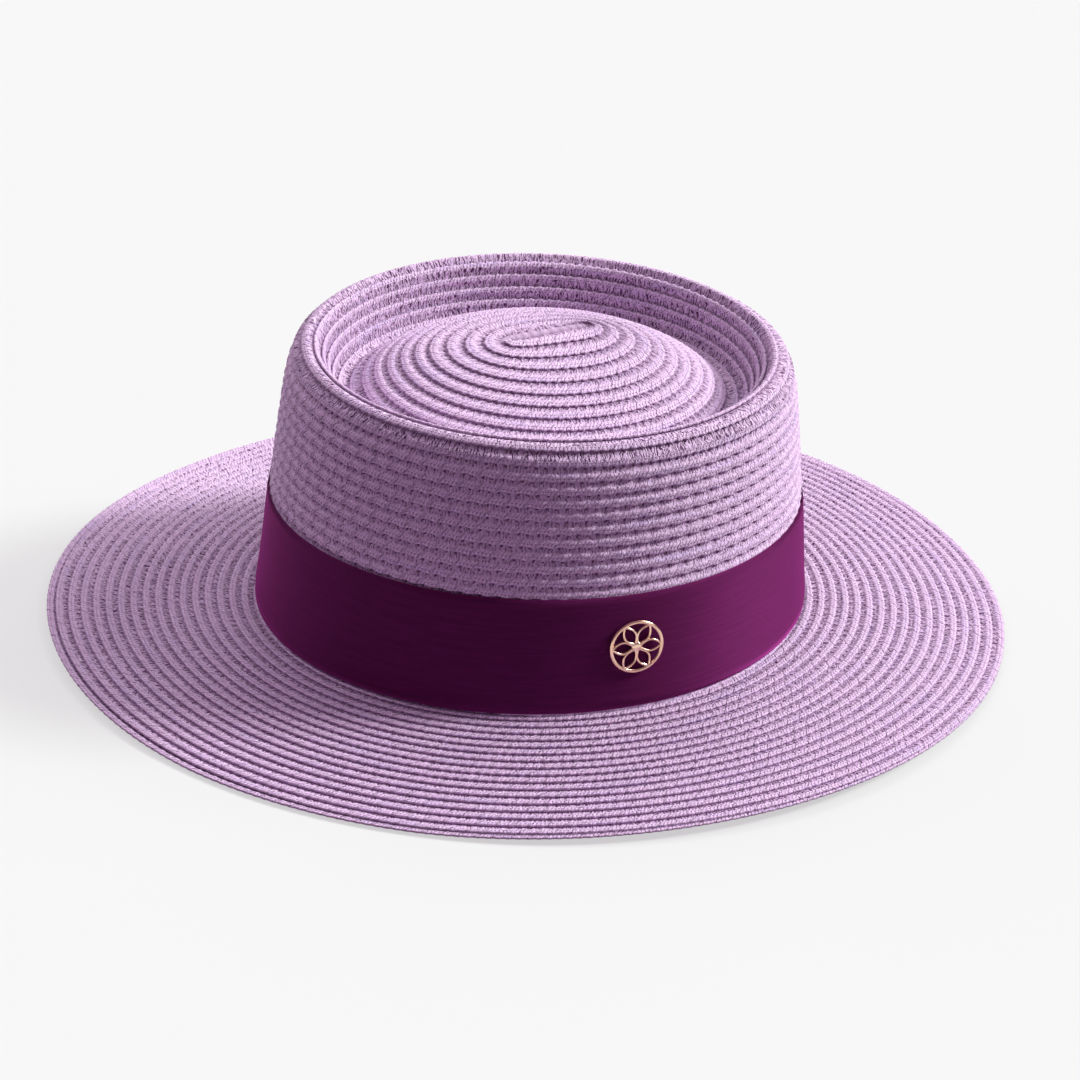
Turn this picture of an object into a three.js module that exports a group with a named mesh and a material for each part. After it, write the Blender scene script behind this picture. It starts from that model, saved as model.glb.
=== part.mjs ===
// Straw boater hat with a telescope crown, a wide ribbon band and a round openwork badge.
// Millimetres, +Z up. The hat's long axis runs along Y and its front points to -Y.
// The origin is under the middle of the hat, on the surface that it rests on.
import * as THREE from 'three';

// Main sizes
const WALL = 2.0;
const GAP = 0.3;
const SEGMENTS = 48;
const RIB = 0.6;
const TIP_COURSE = 5.1;
const RIM_COURSE = 5.6;
const SIDE_COURSE = 5.7;
const BRIM_COURSE = 4.6;

// Brim
const BRIM_HALF_WIDTH = 152;
const BRIM_HALF_LENGTH = 177;
const HEAD_LINE_HEIGHT = 8.6;
const HEM_WIDTH = 7;
const HEM_THICKNESS = 3.0;
const WAVE_HEIGHT = 1.7;
const WAVE_COUNT = 3;
const WAVE_TROUGH = 0.45;
const BRIM_SWEEP = 1.15;

// Ribbon band
const BAND_WIDTH = 44.5;
const BAND_THICKNESS = 0.8;
const BAND_ROWS = 4;
const LAP_START_DEG = 188;
const LAP_LENGTH_DEG = 15;
const LAP_RISE_DEG = 7.5;

// Badge
const BADGE_RADIUS = 9.7;
const BADGE_RIM = 1.15;
const BADGE_THICKNESS = 1.1;
const BADGE_PETALS = 6;
const BADGE_BAR = 0.85;
const BADGE_HUB = 1.9;
const BADGE_ARC_DEG = 17;
const BADGE_HEIGHT = 34.4;
const BADGE_LEAN_DEG = 6;

// Crown section from the middle of the tip, over the rim and down to the head line.
// Each row is one oval: half its width (X), half its length (Y) and its height.
const CROWN_ROWS = [
  { name: 'start', halfWidth: 3, halfLength: 17, height: 109.0 },
  { name: 'dome', halfWidth: 27, halfLength: 40, height: 105.2 },
  { name: 'slope', halfWidth: 47, halfLength: 59, height: 96.8 },
  { name: 'moat', halfWidth: 57, halfLength: 68, height: 91.2 },
  { name: 'foot', halfWidth: 61.5, halfLength: 71.8, height: 92.2 },
  { name: 'recess', halfWidth: 65.5, halfLength: 75.5, height: 100.0 },
  { name: 'lip', halfWidth: 69, halfLength: 79, height: 107.2 },
  { name: 'crest', halfWidth: 73.5, halfLength: 83, height: 109.8 },
  { name: 'turn', halfWidth: 77.8, halfLength: 87.6, height: 107.0 },
  { name: 'shoulder', halfWidth: 80, halfLength: 90.6, height: 99.5 },
  { name: 'side', halfWidth: 81.8, halfLength: 94, height: 76 },
  { name: 'band', halfWidth: 83.6, halfLength: 96.4, height: 55 },
  { name: 'flare', halfWidth: 86.6, halfLength: 99.4, height: 25 },
  { name: 'head', halfWidth: 89.0, halfLength: 101.6, height: HEAD_LINE_HEIGHT + 2 * GAP },
];

// Stretches of the crown's section and the width of one course of braid in each.
// The stretch under the band is plain.
const CROWN_STRETCHES = [
  { from: 'start', to: 'moat', course: TIP_COURSE, rib: RIB },
  { from: 'moat', to: 'lip', course: RIM_COURSE, rib: RIB },
  { from: 'lip', to: 'shoulder', course: RIM_COURSE, rib: RIB * 0.6 },
  { from: 'shoulder', to: 'band', course: SIDE_COURSE, rib: RIB },
  { from: 'band', to: 'head', course: BAND_WIDTH / 2, rib: 0 },
];

// Places along the crown's section, as row numbers, where the inside wall turns.
const LINING_TURNS = [0, 1, 2, 2.6, 3, 3.5, 4, 6, 6.5, 7, 7.5, 8, 9, 11, 12, 13];

const rad = THREE.MathUtils.degToRad;

// Crown section as a smooth curve: x is half width, y is half length, z is height.
const crownCurve = new THREE.CatmullRomCurve3(
  CROWN_ROWS.map((row) => new THREE.Vector3(row.halfWidth, row.halfLength, row.height)),
  false,
  'centripetal',
);

function rowNumber(name) {
  return CROWN_ROWS.findIndex((row) => row.name === name);
}

// One station of the crown's section, moved out (or in, when negative) along its normal.
function crownStation(rowPlace, offset) {
  const t = rowPlace / (CROWN_ROWS.length - 1);
  const point = crownCurve.getPoint(t);
  const tangent = crownCurve.getTangent(t);
  const acrossX = Math.hypot(tangent.x, tangent.z);
  const acrossY = Math.hypot(tangent.y, tangent.z);
  const lift = (tangent.x / acrossX + tangent.y / acrossY) / 2;
  return {
    halfWidth: point.x - (tangent.z / acrossX) * offset,
    halfLength: point.y - (tangent.z / acrossY) * offset,
    height: point.z + lift * offset,
  };
}

// Row places that split a stretch of the crown's section into equal steps along its length.
function equalPlaces(fromRow, toRow, count) {
  const samples = 120;
  const places = [];
  const lengths = [0];
  let last = crownCurve.getPoint(fromRow / (CROWN_ROWS.length - 1));
  for (let i = 1; i <= samples; i += 1) {
    const place = fromRow + ((toRow - fromRow) * i) / samples;
    const next = crownCurve.getPoint(place / (CROWN_ROWS.length - 1));
    lengths.push(lengths[i - 1] + Math.hypot(next.x - last.x, next.z - last.z));
    last = next;
  }
  for (let i = 0; i <= count; i += 1) {
    const wanted = (lengths[samples] * i) / count;
    let k = lengths.findIndex((length) => length >= wanted - 1e-9);
    k = Math.max(1, k);
    const part = (wanted - lengths[k - 1]) / (lengths[k] - lengths[k - 1]);
    places.push(fromRow + ((toRow - fromRow) * (k - 1 + part)) / samples);
  }
  return { places, length: lengths[samples] };
}

// Outer stations: a groove between courses and a ridge in the middle of each.
function crownOutside() {
  const stations = [];
  CROWN_STRETCHES.forEach((stretch, index) => {
    const fromRow = rowNumber(stretch.from);
    const toRow = rowNumber(stretch.to);
    const length = equalPlaces(fromRow, toRow, 1).length;
    const courses = Math.max(1, Math.round(length / stretch.course));
    const steps = stretch.rib > 0 ? courses * 2 : courses;
    const { places } = equalPlaces(fromRow, toRow, steps);
    places.forEach((place, step) => {
      if (step === 0 && index > 0) return;
      const ridge = step % 2 === 1 ? stretch.rib : 0;
      stations.push(crownStation(place, ridge));
    });
  });
  return stations;
}

function crownInside() {
  return LINING_TURNS.map((place) => crownStation(place, -WALL)).reverse();
}

// Turns a section of ovals about Z. A closed section is joined to its own start,
// an open one starts and ends on the axis.
function turnOvals(stations, closed) {
  const profile = stations.map((s) => new THREE.Vector2(s.halfWidth, s.height));
  if (closed) profile.push(profile[0].clone());
  const geometry = new THREE.LatheGeometry(profile, SEGMENTS);
  geometry.rotateX(Math.PI / 2);
  const position = geometry.attributes.position;
  for (let i = 0; i < position.count; i += 1) {
    const station = stations[(i % profile.length) % stations.length];
    const angle = -(Math.floor(i / profile.length) / SEGMENTS) * Math.PI * 2;
    const height = station.heightAt ? station.heightAt(angle) : station.height;
    const x = station.halfWidth * Math.cos(angle);
    const y = station.halfLength * Math.sin(angle);
    position.setXYZ(i, x, y, height);
  }
  return geometry;
}

function crownGeometry() {
  const outside = crownOutside();
  const inside = crownInside();
  const top = { halfWidth: 0, halfLength: 0, height: outside[0].height };
  const under = { halfWidth: 0, halfLength: 0, height: inside[inside.length - 1].height };
  return turnOvals([top, ...outside, ...inside, under], false);
}

// Height of the brim's lower edge: three low waves, flat where they meet the surface.
function edgeHeight(angle) {
  const wave = WAVE_HEIGHT * (1 + Math.sin(WAVE_COUNT * angle));
  return Math.max(0, wave - WAVE_TROUGH);
}

// One oval of the brim. part is 0 at the head line and 1 at the outer edge.
function brimStation(part, headHeight, edgeRise) {
  const inner = CROWN_ROWS[rowNumber('head')];
  const innerHalfWidth = inner.halfWidth - WALL;
  const innerHalfLength = inner.halfLength - WALL;
  const sweep = part ** BRIM_SWEEP;
  return {
    halfWidth: innerHalfWidth + (BRIM_HALF_WIDTH - innerHalfWidth) * part,
    halfLength: innerHalfLength + (BRIM_HALF_LENGTH - innerHalfLength) * part,
    height: headHeight,
    heightAt: (angle) => headHeight * (1 - sweep) + (edgeHeight(angle) + edgeRise) * sweep,
  };
}

function brimGeometry() {
  const width = BRIM_HALF_WIDTH - CROWN_ROWS[rowNumber('head')].halfWidth + WALL;
  const seatPart = (WALL + GAP + BAND_THICKNESS + GAP) / width;
  const hemPart = 1 - HEM_WIDTH / width;
  const courses = Math.round((width * (1 - seatPart)) / BRIM_COURSE);
  const top = [brimStation(0, HEAD_LINE_HEIGHT, HEM_THICKNESS)];
  for (let step = 0; step < courses * 2; step += 1) {
    const part = seatPart + ((1 - seatPart) * step) / (courses * 2);
    const ridge = step % 2 === 1 ? RIB : 0;
    top.push(brimStation(part, HEAD_LINE_HEIGHT + ridge, HEM_THICKNESS - RIB + ridge));
  }
  const edgeTop = brimStation(1, HEAD_LINE_HEIGHT, HEM_THICKNESS - RIB * 1.5);
  const edgeUnder = brimStation(1, 0, RIB);
  const hemOuter = brimStation(1 - RIB / width, 0, 0);
  hemOuter.heightAt = edgeHeight;
  const hemInner = brimStation(hemPart, 0, 0);
  hemInner.heightAt = edgeHeight;
  const underHeight = HEAD_LINE_HEIGHT - WALL;
  const underPlaces = [0.98, 0.8, 0.6, 0.4, 0.2, 0];
  const under = underPlaces.map((place) => brimStation(hemPart * place, underHeight, WALL / 2));
  return turnOvals([...top, edgeTop, edgeUnder, hemOuter, hemInner, ...under], true);
}

// Where the crown's outside wall is at a height in the stretch that the band covers.
function wallAt(height) {
  let low = rowNumber('shoulder');
  let high = CROWN_ROWS.length - 1;
  for (let i = 0; i < 40; i += 1) {
    const middle = (low + high) / 2;
    if (crownStation(middle, 0).height > height) low = middle;
    else high = middle;
  }
  return low;
}

// The band is one strip. Its last stretch laps over its own start with a small gap.
function bandGeometry() {
  const bottom = wallAt(HEAD_LINE_HEIGHT + 2 * GAP);
  const top = wallAt(HEAD_LINE_HEIGHT + 2 * GAP + BAND_WIDTH * Math.cos(rad(BADGE_LEAN_DEG)));
  const places = [];
  for (let i = 0; i < BAND_ROWS; i += 1) places.push(bottom + ((top - bottom) * i) / (BAND_ROWS - 1));
  const step = 360 / SEGMENTS;
  const turns = SEGMENTS + LAP_LENGTH_DEG / step;
  const startStep = Math.round(LAP_START_DEG / step);
  const strip = new THREE.BoxGeometry(1, 1, 1, 1, BAND_ROWS - 1, turns);
  const position = strip.attributes.position;
  for (let i = 0; i < position.count; i += 1) {
    const outer = position.getX(i) > 0;
    const row = Math.round((position.getY(i) + 0.5) * (BAND_ROWS - 1));
    const along = Math.round((0.5 - position.getZ(i)) * turns);
    const angle = rad((startStep + along) * step);
    const rise = THREE.MathUtils.clamp((along * step - 360 + LAP_RISE_DEG) / LAP_RISE_DEG, 0, 1);
    const lift = rise * (BAND_THICKNESS + GAP) + GAP + RIB / 4;
    const station = crownStation(places[row], lift + (outer ? BAND_THICKNESS : 0));
    const x = station.halfWidth * Math.cos(angle);
    const y = station.halfLength * Math.sin(angle);
    position.setXYZ(i, x, y, station.height);
  }
  return strip;
}

// A petal-shaped opening between two bars, from the hub out to the ring.
function petalOpening(index) {
  const pitch = (Math.PI * 2) / BADGE_PETALS;
  const middle = index * pitch;
  const tip = BADGE_RADIUS - BADGE_RIM;
  const spread = pitch / 2 - BADGE_BAR / tip;
  const root = BADGE_HUB;
  const at = (radius, turn) => [radius * Math.cos(middle + turn), radius * Math.sin(middle + turn)];
  const hole = new THREE.Path();
  hole.moveTo(...at(root, 0));
  hole.quadraticCurveTo(...at(root * 1.9, -spread * 0.75), ...at(tip, -spread));
  hole.absarc(0, 0, tip, middle - spread, middle + spread, false);
  hole.quadraticCurveTo(...at(root * 1.9, spread * 0.75), ...at(root, 0));
  return hole;
}

function badgeGeometry() {
  const outline = new THREE.Shape();
  outline.absarc(0, 0, BADGE_RADIUS, 0, Math.PI * 2, false);
  for (let i = 0; i < BADGE_PETALS; i += 1) outline.holes.push(petalOpening(i));
  return new THREE.ExtrudeGeometry(outline, {
    depth: BADGE_THICKNESS,
    bevelEnabled: false,
    curveSegments: 6,
  });
}

// Materials
const straw = new THREE.MeshStandardMaterial({ color: '#c3a0c6', roughness: 0.72, metalness: 0 });
const ribbon = new THREE.MeshStandardMaterial({ color: '#4d1040', roughness: 0.6, metalness: 0 });
const gold = new THREE.MeshStandardMaterial({ color: '#e0b48e', roughness: 0.25, metalness: 1 });

function addPiece(parent, name, geometry, material) {
  const mesh = new THREE.Mesh(geometry, material);
  mesh.name = name;
  parent.add(mesh);
  return mesh;
}

const hat = new THREE.Group();
hat.name = 'straw_boater_hat';
addPiece(hat, 'crown', crownGeometry(), straw);
addPiece(hat, 'brim', brimGeometry(), straw);
addPiece(hat, 'ribbon_band', bandGeometry(), ribbon);

// The badge lies flat against the band, square to the wall behind it.
const seat = crownStation(wallAt(BADGE_HEIGHT), GAP + RIB / 4 + BAND_THICKNESS + GAP);
const badgeAngle = rad(BADGE_ARC_DEG);
const badge = addPiece(hat, 'badge', badgeGeometry(), gold);
const seatX = seat.halfWidth * Math.cos(badgeAngle);
const seatY = seat.halfLength * Math.sin(badgeAngle);
const facing = Math.atan2(Math.sin(badgeAngle) / seat.halfLength, Math.cos(badgeAngle) / seat.halfWidth);
badge.quaternion.setFromRotationMatrix(badgeTurn(facing));
badge.position.set(seatX, seatY, BADGE_HEIGHT);

// Turn that stands the badge up, facing outwards and leaning back with the wall.
function badgeTurn(direction) {
  const lean = rad(BADGE_LEAN_DEG);
  const out = new THREE.Vector3(
    Math.cos(direction) * Math.cos(lean),
    Math.sin(direction) * Math.cos(lean),
    Math.sin(lean),
  );
  const side = new THREE.Vector3(-Math.sin(direction), Math.cos(direction), 0);
  const up = new THREE.Vector3().crossVectors(out, side);
  return new THREE.Matrix4().makeBasis(side, up, out);
}

export default hat;
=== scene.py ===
"""Straw boater hat: sewn paper-straw braid, a ribbon band and a round openwork badge."""

import logging
import math
from dataclasses import dataclass, field
from enum import Enum

import bmesh
import bpy
import numpy as np
from mathutils import Matrix, Vector


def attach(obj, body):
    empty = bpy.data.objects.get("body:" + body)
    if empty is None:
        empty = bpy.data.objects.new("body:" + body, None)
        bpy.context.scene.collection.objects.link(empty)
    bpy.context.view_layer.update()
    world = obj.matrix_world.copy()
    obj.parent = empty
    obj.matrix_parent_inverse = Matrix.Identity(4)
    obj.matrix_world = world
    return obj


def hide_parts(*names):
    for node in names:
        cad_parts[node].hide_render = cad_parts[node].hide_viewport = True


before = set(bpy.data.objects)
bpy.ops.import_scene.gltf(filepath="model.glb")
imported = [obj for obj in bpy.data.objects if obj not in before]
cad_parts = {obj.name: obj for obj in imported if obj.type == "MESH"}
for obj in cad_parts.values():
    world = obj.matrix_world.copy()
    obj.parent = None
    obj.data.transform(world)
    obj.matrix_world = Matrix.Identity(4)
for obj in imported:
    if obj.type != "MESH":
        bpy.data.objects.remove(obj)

MM = 0.001
LOG = logging.getLogger("boater_hat")

Socket = bpy.types.NodeSocket
Value = Socket | float | tuple[float, ...]


@dataclass(frozen=True)
class OvalRow:
    """One oval of the crown's section, in millimetres."""

    name: str
    half_width: float
    half_length: float
    height: float


CROWN_ROWS = (
    OvalRow("core", 0.05, 15.6, 109.2),
    OvalRow("start", 3.0, 17.0, 109.0),
    OvalRow("dome", 27.0, 40.0, 104.4),
    OvalRow("slope", 47.0, 59.0, 96.8),
    OvalRow("moat", 57.0, 68.0, 91.2),
    OvalRow("foot", 61.5, 71.8, 92.2),
    OvalRow("recess", 65.5, 75.5, 100.0),
    OvalRow("lip", 69.0, 79.0, 107.2),
    OvalRow("crest", 73.5, 83.0, 109.8),
    OvalRow("turn", 77.8, 87.6, 107.0),
    OvalRow("shoulder", 80.0, 90.6, 99.5),
    OvalRow("side", 81.8, 94.0, 76.0),
    OvalRow("band", 83.6, 96.4, 55.0),
    OvalRow("flare", 86.6, 99.4, 25.0),
    OvalRow("head", 89.2, 101.8, 4.6),
)


class Stretch(Enum):
    """Stretches of the crown, by the row each starts at, and the width of one course there."""

    TIP = ("core", 6.0)
    SLOPE = ("dome", 5.25)
    RECESS = ("moat", 4.6)
    RIM = ("lip", 5.6)
    SIDE = ("shoulder", 4.93)


@dataclass(frozen=True)
class BraidRow:
    """One point of the braid's section.

    across runs from 0 at the inner, covered edge to 1 at the outer edge; height is over
    the hat's surface in millimetres; wave and scallop say how far the plait's lobes move
    the point up and sideways, as shares of the lobe sizes.
    """

    across: float
    height: float
    wave: float
    scallop: float


BRAID_TOP = (
    BraidRow(0.00, -1.50, 0.0, 0.0),
    BraidRow(0.27, -1.25, 0.0, 0.0),
    BraidRow(0.40, -0.98, 0.3, 0.0),
    BraidRow(0.56, -0.80, 0.5, 0.0),
    BraidRow(0.62, -0.34, 0.9, 0.8),
    BraidRow(0.70, -0.02, 1.0, 0.5),
    BraidRow(0.81, -0.17, 0.4, 0.2),
    BraidRow(0.91, 0.00, 1.0, 0.6),
    BraidRow(0.985, -0.28, 0.9, 1.0),
)
BRAID_UNDER = (
    BraidRow(0.97, -0.85, 0.5, 1.0),
    BraidRow(0.62, -1.25, 0.3, 0.0),
    BraidRow(0.25, -1.70, 0.3, 0.0),
    BraidRow(0.02, -1.90, 0.0, 0.0),
)

BRAID_LOOP = (*BRAID_TOP, *BRAID_UNDER, BRAID_TOP[0])
DEEPEST_RELIEF = -1.6  # millimetres; the points under it are the braid's hidden underside
PAST_END = 0.9  # courses that a drawn-in last round is counted past the surface's end


class OvalSection:
    """The crown's section as a smooth curve through its rows."""

    def __init__(self, rows: tuple[OvalRow, ...]) -> None:
        """Samples a centripetal Catmull-Rom curve.

        Args:
            rows: the ovals, from the middle of the tip to the head line.
        """
        self.rows = rows
        knots = np.array([(r.half_width, r.half_length, r.height) for r in rows])
        before = 2 * knots[0] - knots[1]
        after = 2 * knots[-1] - knots[-2]
        padded = np.vstack([before, knots, after])
        places, points = [], []
        for i in range(len(rows) - 1):
            p0, p1, p2, p3 = padded[i : i + 4]
            d0, d1, d2 = (
                max(np.linalg.norm(b - a) ** 0.5, 1e-6)
                for a, b in ((p0, p1), (p1, p2), (p2, p3))
            )
            m1 = ((p1 - p0) / d0 - (p2 - p0) / (d0 + d1) + (p2 - p1) / d1) * d1
            m2 = ((p2 - p1) / d1 - (p3 - p1) / (d1 + d2) + (p3 - p2) / d2) * d1
            s = np.linspace(0, 1, 60, endpoint=False)[:, None]
            span = (
                (2 * s**3 - 3 * s**2 + 1) * p1
                + (s**3 - 2 * s**2 + s) * m1
                + (-2 * s**3 + 3 * s**2) * p2
                + (s**3 - s**2) * m2
            )
            places.append(i + s[:, 0])
            points.append(span)
        self.places = np.append(np.concatenate(places), len(rows) - 1)
        self.points = np.vstack([*points, knots[-1]])

    def place_of(self, name: str) -> int:
        """Returns the row number of the named oval."""
        return [r.name for r in self.rows].index(name)

    def at(self, place: np.ndarray) -> tuple[np.ndarray, np.ndarray, np.ndarray]:
        """Returns half width, half length and height at row places."""
        return tuple(np.interp(place, self.places, self.points[:, k]) for k in range(3))


class HatSurface:
    """A surface that the braid is laid on: courses outward, angle round the hat."""

    def point(self, course: np.ndarray, angle: np.ndarray) -> np.ndarray:
        """Returns surface points in millimetres."""
        raise NotImplementedError

    def normal(self, course: np.ndarray, angle: np.ndarray) -> np.ndarray:
        """Works out outward unit normals, from small steps along the surface.

        Args:
            course: course numbers, counted outward.
            angle: angles about Z in radians.

        Returns:
            One unit vector for each point.
        """
        small_turn, small_course = 2e-3, 0.03
        along = self.point(course, angle + small_turn) - self.point(course, angle - small_turn)
        out = self.point(course + small_course, angle) - self.point(course - small_course, angle)
        normal = np.cross(out, along)
        return normal / np.maximum(np.linalg.norm(normal, axis=-1, keepdims=True), 1e-9)

    def cover(
        self, mesh: bpy.types.Mesh, course: np.ndarray, angle: np.ndarray, height: np.ndarray
    ) -> None:
        """Moves a grid's points onto the surface.

        Args:
            mesh: the grid.
            course: course number of each point.
            angle: angle of each point about Z in radians.
            height: height of each point over the surface, in millimetres.
        """
        point = self.point(course, angle) + self.normal(course, angle) * height[:, None]
        mesh.vertices.foreach_set("co", (point * MM).ravel())


@dataclass
class CrownSurface(HatSurface):
    """Tip, recess, rim and side of the crown, measured in courses of braid.

    The tip's start lies start_shift from the middle, turned start_turn degrees from the
    hat's length, and the tip's back is back_lift higher than its front. Each fade names
    the half widths of the ovals between which the straight start, or its shift and turn,
    dies out. Lengths are in millimetres.
    """

    start_turn: float = 23.0
    start_shift: tuple[float, float] = (-9.5, 3.0)
    straight_fade: tuple[float, float] = (3.0, 27.0)
    shift_fade: tuple[float, float] = (2.0, 44.0)
    end_firmness: float = 2.6
    back_lift: float = 4.5
    lift_reach: float = 62.0

    def __post_init__(self) -> None:
        """Lays the courses out along the section."""
        self.section = OvalSection(CROWN_ROWS)
        points = self.section.points
        steps = np.diff(points, axis=0)
        across_x = np.hypot(steps[:, 0], steps[:, 2])
        across_y = np.hypot(steps[:, 1], steps[:, 2])
        pitch = np.empty(len(steps))
        for stretch in Stretch:
            row, width = stretch.value
            pitch[self.section.places[:-1] >= self.section.place_of(row)] = width
        self.courses = np.append(0, np.cumsum((across_x + across_y) / 2 / pitch))

    def course_of(self, place: float) -> float:
        """Returns the course number at a row place."""
        return float(np.interp(place, self.section.places, self.courses))

    def course_at_height(self, height: np.ndarray) -> np.ndarray:
        """Finds the place on the outside wall that has a height.

        Args:
            height: heights in millimetres.

        Returns:
            Course numbers.
        """
        first = int(np.searchsorted(self.section.places, self.section.place_of("crest")))
        heights = self.section.points[first:, 2][::-1]
        return np.interp(height, heights, self.courses[first:][::-1])

    @property
    def last(self) -> float:
        """Course number at the head line."""
        return float(self.courses[-1])

    @staticmethod
    def fade(half_width: np.ndarray, ends: tuple[float, float]) -> np.ndarray:
        """Returns 1 up to the first half width and less and less to 0 at the second."""
        return np.clip(1 - (half_width - ends[0]) / (ends[1] - ends[0]), 0, 1) ** 2

    def point(self, course: np.ndarray, angle: np.ndarray) -> np.ndarray:
        """Works out surface points; near the middle the ovals have straight sides.

        Args:
            course: course numbers, counted outward from the middle of the tip.
            angle: angles about Z in radians.

        Returns:
            Points in millimetres.
        """
        place = np.interp(course, self.courses, self.section.places)
        half_width, half_length, height = self.section.at(place)
        sine, cosine = np.sin(angle), np.cos(angle)
        straight = self.fade(half_width, self.straight_fade)
        excess = half_length - half_width
        firm = np.tanh(self.end_firmness * sine) / np.tanh(self.end_firmness)
        x = half_width * cosine
        y = half_width * sine + excess * (sine * (1 - straight) + firm * straight)
        inner = self.fade(half_width, self.shift_fade)
        turn = math.radians(self.start_turn) * inner
        x, y = x * np.cos(turn) - y * np.sin(turn), x * np.sin(turn) + y * np.cos(turn)
        shift_x, shift_y = self.start_shift
        swell = np.sin(math.pi * np.clip(half_width / self.lift_reach, 0, 1)) * (1 - cosine) / 2
        height = height + self.back_lift * swell
        return np.stack([x + shift_x * inner, y + shift_y * inner, height], axis=-1)


@dataclass(frozen=True)
class BrimSurface(HatSurface):
    """The brim's upper face, from the head line to the outer edge, in millimetres."""

    half_width: float = 152.0
    half_length: float = 177.0
    head_half_width: float = 87.0
    head_half_length: float = 99.6
    head_height: float = 9.4
    head_tilt: float = 2.6
    hem: float = 2.75
    wave: float = 1.7
    trough: float = 0.45
    sweep: float = 1.15
    courses: float = 17.2

    def point(self, course: np.ndarray, angle: np.ndarray) -> np.ndarray:
        """Works out surface points; the edge rises and falls in three low waves.

        Args:
            course: course numbers, counted outward from the head line.
            angle: angles about Z in radians.

        Returns:
            Points in millimetres.
        """
        part = np.clip(course / self.courses, 0, 1.1)
        edge = np.maximum(0, self.wave * (1 + np.sin(3 * angle)) - self.trough)
        sweep = part**self.sweep
        head = self.head_height + self.head_tilt * np.sin(angle)
        height = head * (1 - sweep) + (edge + self.hem) * sweep
        width = self.head_half_width + (self.half_width - self.head_half_width) * part
        length = self.head_half_length + (self.half_length - self.head_half_length) * part
        return np.stack([width * np.cos(angle), length * np.sin(angle), height], axis=-1)


class MeshPiece:
    """Turns grids of points into named, closed pieces of the hat."""

    @staticmethod
    def grid(columns: int, rows: int) -> bpy.types.Mesh:
        """Makes a grid mesh whose UV map runs from 0 to 1 both ways.

        Args:
            columns: faces across.
            rows: faces along.

        Returns:
            The new mesh, with x and y from -0.5 to 0.5.
        """
        bm = bmesh.new()
        bm.loops.layers.uv.new("braid")
        bmesh.ops.create_grid(bm, x_segments=columns, y_segments=rows, size=0.5, calc_uvs=True)
        mesh = bpy.data.meshes.new("grid")
        bm.to_mesh(mesh)
        bm.free()
        return mesh

    @staticmethod
    def shares(mesh: bpy.types.Mesh) -> tuple[np.ndarray, np.ndarray]:
        """Tells where the points of a fresh grid are.

        Args:
            mesh: the grid.

        Returns:
            Shares across and along the grid, from 0 to 1.
        """
        places = np.empty(len(mesh.vertices) * 3)
        mesh.vertices.foreach_get("co", places)
        return places[0::3] + 0.5, places[1::3] + 0.5

    @staticmethod
    def corners(mesh: bpy.types.Mesh) -> tuple[np.ndarray, np.ndarray]:
        """Tells where the face corners of a fresh grid are.

        Args:
            mesh: the grid.

        Returns:
            Shares across and along the grid, from 0 to 1.
        """
        uv = np.empty(len(mesh.uv_layers[0].uv) * 2, np.float32)
        mesh.uv_layers[0].uv.foreach_get("vector", uv)
        uv = np.clip(uv, 0, 1)
        return uv[0::2], uv[1::2]

    @staticmethod
    def map_uv(mesh: bpy.types.Mesh, along: np.ndarray, across: np.ndarray) -> None:
        """Sets the UV map at every face corner.

        Args:
            mesh: the grid.
            along: first UV number of each corner.
            across: second one.
        """
        uv = np.stack([along, across], axis=-1).astype(np.float32)
        mesh.uv_layers[0].uv.foreach_set("vector", uv.ravel())

    @staticmethod
    def close(mesh: bpy.types.Mesh, name: str) -> bpy.types.Object:
        """Welds the grid's seam, fills its ends and makes it a piece.

        Args:
            mesh: the mapped grid, in metres.
            name: the piece's name.

        Returns:
            The new piece.
        """
        bm = bmesh.new()
        bm.from_mesh(mesh)
        bpy.data.meshes.remove(mesh)
        bmesh.ops.remove_doubles(bm, verts=bm.verts, dist=2e-7)
        bmesh.ops.dissolve_degenerate(bm, edges=bm.edges, dist=1e-8)
        bmesh.ops.holes_fill(bm, edges=[e for e in bm.edges if e.is_boundary], sides=0)
        return MeshPiece.finish(bm, name)

    @staticmethod
    def finish(bm: bmesh.types.BMesh, name: str) -> bpy.types.Object:
        """Makes a finished shape an object of the scene, its faces outward and smooth.

        Args:
            bm: the shape, in metres.
            name: the piece's name.

        Returns:
            The new piece.
        """
        bmesh.ops.recalc_face_normals(bm, faces=bm.faces)
        mesh = bpy.data.meshes.new(name)
        bm.to_mesh(mesh)
        bm.free()
        mesh.polygons.foreach_set("use_smooth", [True] * len(mesh.polygons))
        piece = bpy.data.objects.new(name, mesh)
        bpy.context.scene.collection.objects.link(piece)
        return piece


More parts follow.
